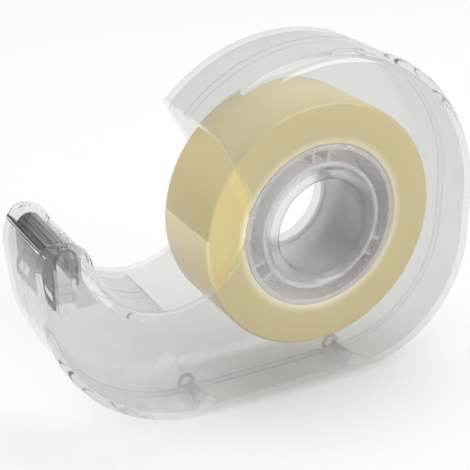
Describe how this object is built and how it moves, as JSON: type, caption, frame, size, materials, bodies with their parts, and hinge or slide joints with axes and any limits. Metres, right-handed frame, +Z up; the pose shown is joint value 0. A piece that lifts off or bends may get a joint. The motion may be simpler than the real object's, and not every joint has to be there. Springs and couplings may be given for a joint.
{
  "type": "handheld tape dispenser",
  "caption": "Handheld tape dispenser: clear snail-shaped shell with an open mouth, a toothed steel cutter on its nose and a roll of tape turning on a through hub.",
  "frame": {"origin": "on the standing surface, under the middle of the length and width", "axes": "+X from the cutter to the heel, +Y across the tape away from the pictured side, +Z up"},
  "size_m": [0.0972, 0.023, 0.0723],
  "materials": {
    "clear_shell": "clear colourless moulded polystyrene, glossy",
    "cutter_steel": "rolled spring steel, faint drawing lines",
    "clear_core": "clear moulded polystyrene, slightly hazy",
    "wound_tape": "clear tape that looks honey yellow in the wound roll"
  },
  "bodies": {
    "case": {"near_half": "clear_shell", "cutter_blade": "cutter_steel"},
    "cover": {"far_half": "clear_shell"},
    "roll": {"tape_core": "clear_core", "tape_roll": "wound_tape"}
  },
  "joints": [
    {"name": "roll_spin", "type": "hinge", "parent": "case", "child": "roll", "pos_m": [0.0113, 0, 0.0362], "axis": [0, 1, 0], "continuous": true},
    {"name": "cover_pull", "type": "slide", "parent": "case", "child": "cover", "axis": [0, 1, 0], "range_m": [0, 0.03]}
  ]
}
